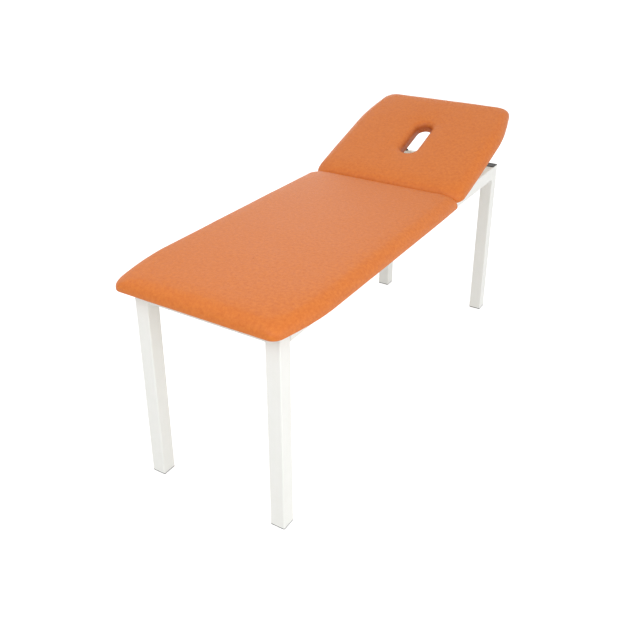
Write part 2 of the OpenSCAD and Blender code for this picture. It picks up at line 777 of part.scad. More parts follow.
module rod(side) {
  color("lightgray") at_pin(side) difference() {
    union() {
      x_cylinder(eye_r, -eye_w / 2, eye_w / 2);
      translate([0, 0, -rod_l]) cylinder(r = rod_r, h = rod_l);
    }
    x_cylinder(eye_pin_r + running, -eye_w, eye_w);
  }
}

// Collar near the lower end of a rod, which stops it from leaving the block
module rod_stop(side) {
  color("#303030") at_pin(side) translate([0, 0, -rod_l + rod_tail])
    washer(rod_r + stop_out, rod_r + running, stop_h);
}

module swivel_block(side) {
  end = ear_x + ear_t + side_gap + 2 * ring_t;
  ring_x = ear_x + ear_t + side_gap;
  color("#8d9196") at_block(side) difference() {
    union() {
      translate([0, 0, -block_s / 2]) linear_extrude(block_s) round_rect(block_s, block_s, tube_r);
      x_cylinder(trunnion_r, block_s / 2 - 1, end);
    }
    translate([0, 0, -block_s]) cylinder(r = rod_r + running, h = 2 * block_s);
    x_cylinder(clamp_r + running, -block_s, 0);
    difference() {
      x_cylinder(trunnion_r + 1, ring_x, ring_x + ring_t);
      x_cylinder(trunnion_r - groove, ring_x - 1, ring_x + 2 * ring_t);
    }
  }
}

// Retaining ring in the groove of a trunnion
module swivel_ring(side) {
  ring_x = ear_x + ear_t + side_gap;
  color("#303030") at_block(side) difference() {
    x_cylinder(trunnion_r + ring_out, ring_x + running, ring_x + ring_t - running);
    x_cylinder(trunnion_r - groove + running, ring_x - 1, ring_x + ring_t + 1);
  }
}

// Screw that presses on the rod when its knob is tightened
module clamp_screw(side) {
  color("silver") at_block(side)
    x_cylinder(clamp_r, -block_s / 2 - knob_hub_l - knob_l / 2, -rod_r - snug);
}

module star_knob(side) {
  grip_x = -block_s / 2 - side_gap - knob_hub_l - knob_l;
  color("#202022") at_block(side) difference() {
    union() {
      x_cylinder(knob_hub_r, grip_x + knob_l - 1, -block_s / 2 - side_gap);
      intersection() {
        translate([grip_x, 0, 0]) rotate([0, 90, 0]) linear_extrude(knob_l) {
          circle(knob_core_r);
          for (i = [0:lobes - 1]) rotate(i * 360 / lobes) translate([knob_reach, 0]) circle(lobe_r);
        }
        translate([grip_x + 1.4 * knob_reach, 0, 0]) sphere(r = knob_reach + 1.6 * lobe_r);
      }
    }
    x_cylinder(clamp_r + running, -block_s / 2 - knob_hub_l - knob_l / 2 - running, 0);
  }
}

leg(left, foot);  // leg_foot_left
leg(right, foot);  // leg_foot_right
leg(left, head);  // leg_head_left
leg(right, head);  // leg_head_right
side_rail(left);  // side_rail_left
side_rail(right);  // side_rail_right
bolted_rail(foot_rail_y, frame_w - 2 * leg_w);  // foot_cross_rail
bolted_rail(middle_rail_y, frame_w - 2 * rail_t);  // middle_cross_rail
bolted_rail(hinge_rail_y, frame_w - 2 * rail_t);  // hinge_cross_rail
stay_rail();  // stay_cross_rail
head_rail();  // head_cross_rail
glide(left, foot);  // glide_foot_left
glide(right, foot);  // glide_foot_right
glide(left, head);  // glide_head_left
glide(right, head);  // glide_head_right
leg_cap(left, foot);  // cap_foot_left
leg_cap(right, foot);  // cap_foot_right
leg_cap(left, head);  // cap_head_left
leg_cap(right, head);  // cap_head_right
body_board();
body_foam();
body_cover();
headrest_board();
headrest_foam();
headrest_cover();
hinge_leaf_fixed(left);  // hinge_leaf_fixed_left
hinge_leaf_fixed(right);  // hinge_leaf_fixed_right
hinge_leaf_moving(left);  // hinge_leaf_moving_left
hinge_leaf_moving(right);  // hinge_leaf_moving_right
hinge_pin(left);  // hinge_pin_left
hinge_pin(right);  // hinge_pin_right
hinge_screws_fixed();
hinge_screws_moving();
board_bolts();
board_washers();
board_t_nuts();
board_buffers();
rest_buffers();
stay_ear(left);  // stay_ear_left
stay_ear(right);  // stay_ear_right
rod_bracket(left);  // rod_bracket_left
rod_bracket(right);  // rod_bracket_right
bracket_screws();
rod_pin(left);  // rod_pin_left
rod_pin(right);  // rod_pin_right
rod(left);  // rod_left
rod(right);  // rod_right
rod_stop(left);  // rod_stop_left
rod_stop(right);  // rod_stop_right
swivel_block(left);  // swivel_block_left
swivel_block(right);  // swivel_block_right
swivel_ring(left);  // swivel_ring_left
swivel_ring(right);  // swivel_ring_right
clamp_screw(left);  // clamp_screw_left
clamp_screw(right);  // clamp_screw_right
star_knob(left);  // star_knob_left
star_knob(right);  // star_knob_right
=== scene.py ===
# Looks of the medical examination couch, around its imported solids.
# Metres, +Z up, +Y towards the head end.
import json
import math
from collections import namedtuple

import bmesh
import bpy
import numpy as np
from mathutils import Matrix, Vector, kdtree, noise


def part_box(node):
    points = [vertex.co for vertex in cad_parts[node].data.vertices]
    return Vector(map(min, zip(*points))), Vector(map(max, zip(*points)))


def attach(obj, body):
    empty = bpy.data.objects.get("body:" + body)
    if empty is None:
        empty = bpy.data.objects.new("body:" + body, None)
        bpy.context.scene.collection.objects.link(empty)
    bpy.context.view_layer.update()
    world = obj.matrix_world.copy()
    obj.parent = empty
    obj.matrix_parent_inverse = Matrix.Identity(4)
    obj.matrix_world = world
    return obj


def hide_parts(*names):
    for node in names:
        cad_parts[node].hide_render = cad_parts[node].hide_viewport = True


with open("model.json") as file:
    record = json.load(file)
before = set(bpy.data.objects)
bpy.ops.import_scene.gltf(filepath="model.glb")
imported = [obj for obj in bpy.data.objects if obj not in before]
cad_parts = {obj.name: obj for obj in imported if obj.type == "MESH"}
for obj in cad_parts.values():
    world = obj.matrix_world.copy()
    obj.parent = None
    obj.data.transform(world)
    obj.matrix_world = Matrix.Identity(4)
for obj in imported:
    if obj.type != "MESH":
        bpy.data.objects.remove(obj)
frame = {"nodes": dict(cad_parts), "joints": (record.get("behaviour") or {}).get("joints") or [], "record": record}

scene = bpy.context.scene
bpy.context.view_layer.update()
tilt_joint = next(j for j in frame["joints"] if j["name"] == "headrest_tilt")
HINGE = np.array(tilt_joint["pos_m"])
TILT = math.radians(-tilt_joint["range_deg"][0])

# Sizes of the pads: those of the solids, with about 1 mm more where the cover is full.
# Each pad is made flat, with Y and Z from the hinge's axis.
HALF_W = 0.3258
PAD_GAP = 0.018
HINGE_AT = 1.117
FOOT_OVER = 0.059
HEAD_REACH = 0.653
PAD_BASE = 0.0053
BOARD_GAP = 0.0015
EDGE_UP = 0.007
EDGE_W = 0.040
EDGE_RISE = 0.0387
SHOULDER = EDGE_UP + EDGE_RISE
FOAM_BASE = 0.0165
CORNER_SHARE = 0.8
FOLD = 0.002
HEM = 0.030
HEM_END = FOLD * 1.6
HEM_RECESS = BOARD_GAP + 0.0007
STRIP = 0.012

# How far towards its middle the ring close to a hem's turned-up edge goes: outer hem, hem of the slot
HEM_GUARD = 0.008
SLOT_GUARD = 0.03

# The sides draw in, and the corners sag, over DRAW_LEN at each end. The draw is fuller than a parabola by
# a share for the lower and one for the upper end in Y, but not at the very corner. The droop is that of
# the headrest towards the hinge.
DRAW_LEN = 0.250
DRAW_FULLER = (0.25, 0.5)
DRAW_EASE = 1.1
DROOP_LEN = 0.090
# Where the pads face each other, their edges stand steeper from FACING_FROM inward
FACING = 0.45
FACING_FROM = 0.004

# The crown's rise, the width over which it rises, and how much of it the simulation brings
CROWN = 0.005
CROWN_SPAN = 0.6 * HALF_W - EDGE_W
SWELL = 0.0042

# The face slot, its rounded rim, and how much lower the crown is near it
SLOT_W = 0.066
SLOT_L = 0.212
SLOT_AT = 0.328
SLOT_HEM = 0.016
SLOT_FOLD = 0.0006
RIM_W = 0.024
RIM_DROP = 0.024
RIM_SINK = 0.36
RIM_REACH = 0.07

# Pairs are for the lower and the upper end in Y: corner radii, sideways draw, sag of the corners, and
# the share of an inset that counts in Y. The droop is at the lower end.
Pad = namedtuple("Pad", "ends corners draws sags shares droop")
BODY_PAD = Pad(ends=(-HINGE_AT - FOOT_OVER, -PAD_GAP / 2), corners=(0.027, 0.018), draws=(0.037, 0.003),
               sags=(0.0117, 0.0), shares=(1.0, FACING), droop=0.0)
HEAD_PAD = Pad(ends=(PAD_GAP / 2, HEAD_REACH), corners=(0.043, 0.028), draws=(0.005, 0.044),
               sags=(0.0, 0.0065), shares=(0.9, 1.0), droop=0.0035)

# Cloth simulation of the covers on their foam. FOAM_FREE is how much softer the foam's springs are on
# top than at the hem. Its moves go to the pads from the nearest points, the closer ones counting more.
VOXEL = 0.010
FOAM_FREE = 0.7
FOAM_PRESSURE = 40
FRAMES = 12
NEIGHBOURS = 12
CLOSE = 0.002
EVEN_OUT = 6

# Heights above the hem: below HELD_BELOW points are held, and above it they come free over HELD_FADE.
# The pads' own points begin to move MOVES_SOONER lower.
HELD_BELOW = 0.006
HELD_FADE = 0.026
MOVES_SOONER = 0.004

# Unevenness: frequency and height of the waves on top, and the pulls of the staples near the hem
WAVES = ((7.0, 0.0007), (19.0, 0.0003))
PULL = 0.0007
PULL_FREQUENCY = (30, 30, 6)
PULL_FROM = -0.001
PULL_RISE = 0.004
PULL_TO = 0.010
PULL_FADE = 0.022

# Points along a side, round a corner and along an end, for a quarter of a ring
BODY_COUNTS = (60, 8, 30)
HEAD_COUNTS = (36, 12, 30)

# Rings of each stretch
HEM_STEPS = 5
SHOULDER_STEPS = 14
BODY_CROWN_STEPS = 30
HEAD_CROWN_STEPS = 24
RIM_STEPS = 9
WALL_STEPS = 5

# Staples, a little askew. None is under a leaf of a hinge.
STAPLE_IN = 0.021
STAPLE_PITCH = 0.030
SLOT_STAPLE_IN = 0.005
SLOT_STAPLE_PITCH = 0.026
STAPLE_HALF = 0.0052
STAPLE_BEND = 0.0009
STAPLE_LEG = 0.0030
STAPLE_WIRE = (0.00045, 0.00025)
STAPLE_PROUD = 0.0001
STAPLE_SHIFT = 0.15
STAPLE_TURN = 0.25
LEAF_X = (0.145, 0.236)
LEAF_Y = 0.048

# Weld beads: radius, step along them, ripples, and how they taper at their ends
BEAD_R = 0.0021
BEAD_STEP = 0.0011
BEAD_RIPPLE = 0.10
BEAD_PHASE = 2.1
BEAD_ROUGH = 0.06
BEAD_TIP = 0.35
BEAD_TAPER = 0.22
TUBE_R = 0.004
EAR_BEAD_UNDER = 0.006
EAR_BEAD_OVER = 0.001


def smooth(t):
    """Smooth step from 0 to 1."""
    t = np.clip(t, 0, 1)
    return t * t * (3 - 2 * t)


def quarter(hx, hy, r, counts):
    """Quarter of a rounded rectangle, from the middle of its side to the middle of its end."""
    side, corner, end = counts
    j = np.arange(side) / side
    a = np.radians(90 * np.arange(corner) / corner)
    k = np.arange(end + 1) / end
    return np.concatenate([
        np.stack([np.full(side, hx), (hy - r) * j], 1),
        np.stack([hx - r + r * np.cos(a), hy - r + r * np.sin(a)], 1),
        np.stack([(hx - r) * (1 - k), np.full(end + 1, hy)], 1)])


def slot_quarter(hx, hy, counts):
    """Quarter of a slot with round ends, with as many points."""
    side, corner, end = counts
    j = np.arange(side) / side
    a = np.radians(90 * np.arange(corner + end + 1) / (corner + end))
    return np.concatenate([
        np.stack([np.full(side, hx), (hy - hx) * j], 1),
        np.stack([hx * np.cos(a), hy - hx + hx * np.sin(a)], 1)])


def whole(low, high):
    """Closed outline from the quarters at its lower and upper end in Y."""
    return np.concatenate([
        high[:-1], high[:0:-1] * [-1, 1], low[:-1] * [-1, -1], low[:0:-1] * [1, -1]])


def at_end(pair, high):
    """Of a pair for the lower and upper end, the value that holds for each point."""
    return np.where(high, pair[1], pair[0])


def near_end(pad, ring):
    """Distance of each point of a ring from the pad's nearer end, and whether that is the upper end."""
    middle = (pad.ends[0] + pad.ends[1]) / 2
    return (pad.ends[1] - pad.ends[0]) / 2 - np.abs(ring[:, 1] - middle), ring[:, 1] > middle


def draw_in(pad, u, high):
    """How far a pad's sides draw in at a distance from its ends: most near the corners."""
    t = np.clip(1 - u / DRAW_LEN, 0, 1)
    return at_end(pad.draws, high) * (t**2 * (1 + at_end(DRAW_FULLER, high) * (1 - DRAW_EASE * t)))


def outline(pad, inset, counts, soft=True):
    """Outline of a pad, drawn in at its corners, at a distance in from its edge.

    The soft outline is the upholstery's, which stands steeper where the pads face each other.
    """
    low, high = pad.ends
    hx, half = HALF_W - inset, (high - low) / 2
    quarters = []
    for r, share in zip(pad.corners, pad.shares):
        share = share if soft else 1
        hy = half - min(inset, FACING_FROM) - share * max(inset - FACING_FROM, 0)
        quarters.append(quarter(hx, hy, min(r + inset, CORNER_SHARE * hx, CORNER_SHARE * hy), counts))
    ring = whole(*quarters)
    draw = draw_in(pad, half - np.abs(ring[:, 1]), ring[:, 1] > 0)
    return np.stack([ring[:, 0] * (1 - draw / HALF_W), ring[:, 1] + (low + high) / 2], 1)


def slot_outline(out, counts):
    """Outline of the face slot, at a distance out from its edge."""
    q = slot_quarter(SLOT_W / 2 + out, SLOT_L / 2 + out, counts)
    return whole(q, q) + [0, SLOT_AT]


def lift(pad, ring, z):
    """Ring at a height, or heights, above a pad's base, less the sag of the corners and the droop."""
    u, high = near_end(pad, ring)
    sag = at_end(pad.sags, high) * np.clip(1 - u / DRAW_LEN, 0, 1)**2
    sag = sag * (np.abs(ring[:, 0]) / HALF_W)**3
    sag = sag + pad.droop * np.clip(1 - (ring[:, 1] - pad.ends[0]) / DROOP_LEN, 0, 1)**2
    share = np.maximum(z - FOAM_BASE, 0) / (SHOULDER - FOAM_BASE)
    return np.column_stack([ring, z + PAD_BASE - share * sag])


def crown(pad, ring):
    """Share of the crown's height at a ring's points: none on the shoulder's edge, all in the middle."""
    u, high = near_end(pad, ring)
    side = HALF_W - np.abs(ring[:, 0]) / (1 - draw_in(pad, u, high) / HALF_W) - EDGE_W
    end = u - EDGE_W * at_end(pad.shares, high)
    share = 1.0
    for d in (side, end):
        q = np.clip(d / CROWN_SPAN, 0, 1)
        share = share * (0.5 * np.sin(q * math.pi / 2) + 0.5 * smooth(q))
    return share


def rim_sink(ring):
    """Share of the crown that is left near the face slot."""
    half = (SLOT_L - SLOT_W) / 2
    along = np.clip(ring[:, 1] - SLOT_AT, -half, half) + SLOT_AT
    away = np.hypot(ring[:, 0], ring[:, 1] - along) - SLOT_W / 2 - RIM_W
    return 1 - RIM_SINK * (1 - smooth(away / RIM_REACH))


def side_rings(pad, counts):
    """Rings of a pad from the inner edge of its hem, over its fold, to the top of its rounded shoulder."""
    rings = [lift(pad, outline(pad, s, counts, False), 0) for s in np.linspace(HEM, HEM_END, HEM_STEPS)]
    for a in np.radians([0, 30, 60, 90]):
        ring = outline(pad, FOLD * (1 - math.sin(a)), counts)
        rings.append(lift(pad, ring, FOLD * (1 - math.cos(a))))
    for a in np.linspace(0, math.pi / 2, SHOULDER_STEPS):
        ring = outline(pad, EDGE_W * (1 - math.cos(a)), counts)
        rings.append(lift(pad, ring, EDGE_UP + EDGE_RISE * math.sin(a)))
    return rings


def body_rings(counts, rise):
    """Rings of the body pad, from its hem to a thin strip along its middle. Rise is the crown's height."""
    rings = side_rings(BODY_PAD, counts)
    for inset in np.linspace(EDGE_W, HALF_W - STRIP, BODY_CROWN_STEPS + 1)[1:]:
        ring = outline(BODY_PAD, inset, counts)
        rings.append(lift(BODY_PAD, ring, SHOULDER + rise * crown(BODY_PAD, ring)))
    return rings


def head_rings(counts, rise):
    """Rings of the headrest pad, from its outer hem over its crown to the hem of its face slot."""
    rings = side_rings(HEAD_PAD, counts)
    edge, rim = outline(HEAD_PAD, EDGE_W, counts), slot_outline(RIM_W, counts)
    for q in np.linspace(0, 1, HEAD_CROWN_STEPS + 1)[1:]:
        ring = edge * (1 - q) + rim * q
        top = SHOULDER + rise * crown(HEAD_PAD, ring) * rim_sink(ring)
        rings.append(lift(HEAD_PAD, ring, top))
    low = top - RIM_DROP
    for a in np.linspace(0, math.pi / 2, RIM_STEPS)[1:]:
        ring = slot_outline(RIM_W * (1 - math.sin(a)), counts)
        rings.append(lift(HEAD_PAD, ring, low + RIM_DROP * math.cos(a)))
    for q in np.linspace(1, 0, WALL_STEPS)[1:]:
        rings.append(lift(HEAD_PAD, slot_outline(0, counts), FOLD + (low - FOLD) * q))
    for out, z in ((0.0007, SLOT_FOLD), (0.002, 0), (0.006, 0), (SLOT_HEM, 0)):
        rings.append(lift(HEAD_PAD, slot_outline(out, counts), z))
    return rings


def loft(name, rings, closed):
    """Mesh over a chain of rings, closed at its hems, whose inner edges turn up.

    A ring close to each turned-up edge keeps it in place when the mesh is subdivided.
    """
    rings = list(rings)
    inner = rings[0] + [0, 0, HEM_RECESS]
    rings[:0] = [inner + HEM_GUARD * (inner.mean(0) - inner), inner]
    if closed:
        outer = rings[-1] + [0, 0, HEM_RECESS]
        rings += [outer, outer - SLOT_GUARD * (outer.mean(0) - outer)]
    n, m = len(rings[0]), len(rings)
    faces = []
    for k in range(m if closed else m - 1):
        a, b = k * n, ((k + 1) % m) * n
        faces += [(a + i, a + (i + 1) % n, b + (i + 1) % n, b + i) for i in range(n)]
    if not closed:
        # The two ends are closed from side to side: point i faces point n / 2 - i
        for a, flip in ((0, True), ((m - 1) * n, False)):
            for i in range(-n // 4, n // 4):
                p = [a + i % n, a + (i + 1) % n, a + (n // 2 - i - 1) % n, a + (n // 2 - i) % n]
                p = list(dict.fromkeys(p))
                faces.append(tuple(reversed(p)) if flip else tuple(p))
    mesh = bpy.data.meshes.new(name)
    mesh.from_pydata(np.concatenate(rings).tolist(), [], faces)
    bm = bmesh.new()
    bm.from_mesh(mesh)
    bmesh.ops.recalc_face_normals(bm, faces=bm.faces)
    bm.to_mesh(mesh)
    bm.free()
    mesh.shade_smooth()
    return mesh


def points(mesh):
    """Points of a mesh as rows."""
    co = np.zeros(len(mesh.vertices) * 3)
    mesh.vertices.foreach_get("co", co)
    return co.reshape(-1, 3)


def normals(mesh):
    """Normals of a mesh's points as rows."""
    nor = np.zeros(len(mesh.vertices) * 3, np.float32)
    mesh.vertex_normals.foreach_get("vector", nor)
    return nor.reshape(-1, 3).astype(float)


def put_points(mesh, co):
    """Moves a mesh's points to rows of places."""
    mesh.vertices.foreach_set("co", co.astype(np.float32).ravel())
    mesh.update()


def add_object(name, data):
    """New object in the scene, with its mesh, lamp or camera data."""
    obj = bpy.data.objects.new(name, data)
    scene.collection.objects.link(obj)
    return obj


def evaluated(obj):
    """Mesh of an object with its modifiers."""
    return bpy.data.meshes.new_from_object(obj.evaluated_get(bpy.context.evaluated_depsgraph_get()))


def hold(height):
    """Share by which a point at a height above the hem may move: none at the hem, all on the shoulder."""
    return smooth((height - HELD_BELOW) / HELD_FADE)


def swell(mesh, columns):
    """Cloth simulation of a pad's cover on its foam: how far each point of mesh moves.

    Springs stand for the foam, stiff at the hem and soft on top, and its pressure stretches the cover.
    """
    tmp = add_object("swell_tmp", mesh.copy())
    remesh = tmp.modifiers.new("remesh", "REMESH")
    remesh.mode = "VOXEL"
    remesh.voxel_size = VOXEL
    grid = evaluated(tmp)
    tmp.modifiers.clear()
    tmp.data = grid
    rest = points(grid)
    group = tmp.vertex_groups.new(name="foam")
    weight = np.round(1 - FOAM_FREE * hold(rest[:, 2] - PAD_BASE), 2)
    for level in np.unique(weight):
        group.add(np.flatnonzero(weight == level).tolist(), float(level), "REPLACE")
    cloth = tmp.modifiers.new("cloth", "CLOTH")
    s = cloth.settings
    s.quality = 5
    s.mass = 0.3
    s.tension_stiffness = s.compression_stiffness = 30
    s.shear_stiffness = 15
    s.bending_stiffness = 2
    s.use_pressure = True
    s.uniform_pressure_force = FOAM_PRESSURE
    s.effector_weights.gravity = 0
    s.vertex_group_mass = "foam"
    s.pin_stiffness = 1
    cloth.point_cache.frame_start = 1
    cloth.point_cache.frame_end = FRAMES
    for f in range(1, FRAMES + 1):
        scene.frame_set(f)
        tmp.evaluated_get(bpy.context.evaluated_depsgraph_get())
    done = evaluated(tmp)
    move = points(done) - rest
    tree = kdtree.KDTree(len(rest))
    for i, p in enumerate(rest):
        tree.insert(p, i)
    tree.balance()
    out = np.zeros((len(mesh.vertices), 3))
    for i, p in enumerate(points(mesh)):
        # The farthest neighbour counts for nothing, so that the move changes smoothly from point to point
        near = tree.find_n(p, NEIGHBOURS)
        d = np.array([n[2] for n in near])
        w = ((1 - d / d[-1]) / (d + CLOSE))**2
        out[i] = (move[[j for _, j, _ in near]] * w[:, None]).sum(0) / w.sum()
    # Evened out over neighbouring points of the rings
    out = out.reshape(-1, columns, 3)
    for _ in range(EVEN_OUT):
        across = (np.roll(out, 1, 1) + np.roll(out, -1, 1)) / 2
        along = out.copy()
        along[1:-1] = (out[:-2] + out[2:]) / 2
        out = 0.5 * out + 0.25 * across + 0.25 * along
    scene.frame_set(1)
    bpy.data.objects.remove(tmp)
    for old in (grid, done):
        bpy.data.meshes.remove(old)
    return out.reshape(-1, 3)


def cushion(name, form, counts, closed):
    """A pad: a low form swells under the foam's pressure, and is then given its small unevenness."""
    mesh = loft(name, form(counts, CROWN - SWELL), closed)
    co = points(mesh)
    co += swell(mesh, 4 * sum(counts)) * hold(co[:, 2] - PAD_BASE + MOVES_SOONER)[:, None]
    put_points(mesh, co)
    height = co[:, 2] - PAD_BASE
    wave = np.array([sum(noise.noise(Vector(p) * f) * a for f, a in WAVES) for p in co])
    pull = np.array([noise.noise(Vector(p * PULL_FREQUENCY)) for p in co]) * PULL
    near_hem = smooth((height - PULL_FROM) / PULL_RISE) * (1 - smooth((height - PULL_TO) / PULL_FADE))
    co += normals(mesh) * (wave * hold(height) + pull * near_hem)[:, None]
    put_points(mesh, co)
    obj = add_object(name, mesh)
    sub = obj.modifiers.new("subdivision", "SUBSURF")
    sub.levels = sub.render_levels = 1
    return obj


body_cushion = cushion("body_cushion", body_rings, BODY_COUNTS, False)
headrest_cushion = cushion("headrest_cushion", head_rings, HEAD_COUNTS, True)

AT_HINGE = Matrix.Translation(Vector(HINGE))
ON_HEADREST = AT_HINGE @ Matrix.Rotation(TILT, 4, "X")
body_cushion.data.transform(AT_HINGE)
headrest_cushion.data.transform(ON_HEADREST)


# Staples and welds
def sweep(bm, path, rings):
    """Sweeps a ring of (side, up) pairs for each point of the path along a path of (point, side, up)."""
    rows = []
    for (p, side, up), ring in zip(path, rings):
        rows.append([bm.verts.new(p + side * a + up * b) for a, b in ring])
    n = len(rows[0])
    for r0, r1 in zip(rows, rows[1:]):
        for i in range(n):
            bm.faces.new((r0[i], r0[(i + 1) % n], r1[(i + 1) % n], r1[i]))
    bm.faces.new(reversed(rows[0]))
    bm.faces.new(rows[-1])


def staple(bm, centre, along, down):
    """A staple whose back lies in the direction along and whose legs point against the direction down."""
    side = along.cross(down)
    half, r = STAPLE_HALF, STAPLE_BEND
    profile = [(-half, -STAPLE_LEG), (-half, -0.0006), (-half + r * 0.3, -0.0001), (-half + r, 0.0003),
               (half - r, 0.0003), (half - r * 0.3, -0.0001), (half, -0.0006), (half, -STAPLE_LEG)]
    w, h = STAPLE_WIRE
    path = []
    for k, (a, d) in enumerate(profile):
        nxt = profile[min(k + 1, len(profile) - 1)]
        prv = profile[max(k - 1, 0)]
        t = (along * (nxt[0] - prv[0]) + down * (nxt[1] - prv[1])).normalized()
        path.append((centre + along * a + down * d, side, t.cross(side)))
    sweep(bm, path, [[(-w, -h), (w, -h), (w, h), (-w, h)]] * len(path))


def staple_line(bm, ring, pitch, skip, seed):
    """Staples along a closed outline, a little askew."""
    closed = np.concatenate([ring, ring[:1]])
    step = np.linalg.norm(np.diff(closed, axis=0), axis=1)
    total = step.sum()
    at = np.concatenate([[0], np.cumsum(step)])
    rng = np.random.default_rng(seed)
    for k in range(int(total / pitch)):
        s = (k + 0.5 + rng.uniform(-STAPLE_SHIFT, STAPLE_SHIFT)) * total / int(total / pitch)
        # The staple is at p, and q lies a little further along
        p = np.array([np.interp(s, at, closed[:, i]) for i in range(2)])
        q = np.array([np.interp(s + 0.002, at, closed[:, i]) for i in range(2)])
        turn = rng.uniform(-STAPLE_TURN, STAPLE_TURN)
        if skip(*p):
            continue
        along = Matrix.Rotation(turn, 3, "Z") @ Vector((*(q - p), 0)).normalized()
        staple(bm, Vector((p[0], p[1], PAD_BASE - STAPLE_PROUD)), along, Vector((0, 0, -1)))


def mesh_object(name, bm):
    """New object from a mesh under construction, with its normals outward."""
    bmesh.ops.recalc_face_normals(bm, faces=bm.faces)
    mesh = bpy.data.meshes.new(name)
    bm.to_mesh(mesh)
    bm.free()
    return add_object(name, mesh)


def under_leaf(x, y):
    """Whether a place is under a leaf of a hinge, where no staple goes."""
    return LEAF_X[0] < abs(x) < LEAF_X[1] and abs(y) < LEAF_Y


bm = bmesh.new()
staple_line(bm, outline(BODY_PAD, STAPLE_IN, BODY_COUNTS, False), STAPLE_PITCH, under_leaf, 3)
bm.transform(AT_HINGE)
body_staples = mesh_object("body_staples", bm)
bm = bmesh.new()
staple_line(bm, outline(HEAD_PAD, STAPLE_IN, HEAD_COUNTS, False), STAPLE_PITCH, under_leaf, 5)
staple_line(bm, slot_outline(SLOT_HEM - SLOT_STAPLE_IN, HEAD_COUNTS), SLOT_STAPLE_PITCH, under_leaf, 7)
bm.transform(ON_HEADREST)
headrest_staples = mesh_object("headrest_staples", bm)


def corner_path(w, h, both):
    """Outline of a tube's section in (side, up): down one side, along the bottom and, if both, up again."""
    r = TUBE_R
    bend = np.radians([22.5, 45, 67.5, 90])
    pts = [(-w / 2, h / 2 - r), (-w / 2, -h / 2 + r)]
    pts += [(-w / 2 + r - r * math.cos(a), -h / 2 + r - r * math.sin(a)) for a in bend]
    pts += [(w / 2 - r, -h / 2)]
    if both:
        pts += [(w / 2 - r + r * math.sin(a), -h / 2 + r - r * math.cos(a)) for a in bend]
        pts += [(w / 2, h / 2 - r)]
    return pts


def bead(bm, centre, side, up, pts, seed):
    """Weld bead along an outline on the face that is square to side and up, with ripples along it."""
    rng = np.random.default_rng(seed)
    side, up = Vector(side), Vector(up)
    fine = []
    for a, b in zip(pts, pts[1:]):
        length = math.hypot(b[0] - a[0], b[1] - a[1])
        n = max(1, int(length / BEAD_STEP))
        fine += [(a[0] + (b[0] - a[0]) * k / n, a[1] + (b[1] - a[1]) * k / n) for k in range(n)]
    fine.append(pts[-1])
    axis = side.cross(up)
    path, rings = [], []
    phase = rng.uniform(0, 6)
    for k, p in enumerate(fine):
        q0, q1 = fine[max(k - 1, 0)], fine[min(k + 1, len(fine) - 1)]
        t = Vector((q1[0] - q0[0], q1[1] - q0[1], 0)).normalized()
        out = side * t.y - up * t.x
        end = min(k, len(fine) - 1 - k)
        r = BEAD_R * (1 + BEAD_RIPPLE * math.sin(k * BEAD_PHASE + phase) + BEAD_ROUGH * rng.uniform(-1, 1))
        r *= min(1, BEAD_TIP + end * BEAD_TAPER)
        path.append((Vector(centre) + side * p[0] + up * p[1], out, axis))
        rings.append([(r * math.cos(a), r * math.sin(a)) for a in np.radians(np.arange(0, 360, 45))])
    sweep(bm, path, rings)


def add_beads():
    """Weld beads round the ends of all the rails, and beside the ears that carry the stays."""
    bm = bmesh.new()
    boxes = {n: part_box(n) for n in frame["nodes"]}
    seed = 11
    for s in (-1, 1):
        lo, hi = boxes["side_rail_left" if s < 0 else "side_rail_right"]
        mid = (lo + hi) / 2
        for y in (lo.y, hi.y):
            pts = corner_path(hi.x - lo.x, hi.z - lo.z, False)
            bead(bm, (mid.x, y, mid.z), (s, 0, 0), (0, 0, 1), pts, seed)
            seed += 1
        # The outer side of the rails at the ends is flush with the legs
        for n, flush in (("foot_cross_rail", 1), ("middle_cross_rail", 0), ("hinge_cross_rail", 0),
                         ("stay_cross_rail", 0), ("head_cross_rail", -1)):
            lo, hi = boxes[n]
            mid = (lo + hi) / 2
            pts = corner_path(hi.y - lo.y, hi.z - lo.z, not flush)
            bead(bm, (hi.x if s > 0 else lo.x, mid.y, mid.z), (0, -flush or 1, 0), (0, 0, 1), pts, seed)
            seed += 1
        ear_lo, ear_hi = boxes["stay_ear_left" if s < 0 else "stay_ear_right"]
        lo, hi = boxes["stay_cross_rail"]
        for x in (ear_lo.x, ear_hi.x):
            pts = [(0, hi.z - EAR_BEAD_UNDER - lo.z), (0, EAR_BEAD_OVER)]
            bead(bm, (x, lo.y, lo.z), (1, 0, 0), (0, 0, 1), pts, seed)
            seed += 1
    return mesh_object("weld_beads", bm)


weld_beads = add_beads()


# Materials
def linear(r, g, b):
    """Linear colour of an sRGB one given from 0 to 255."""
    f = [c / 255 for c in (r, g, b)]
    return tuple(c / 12.92 if c <= 0.04045 else ((c + 0.055) / 1.055)**2.4 for c in f) + (1.0,)


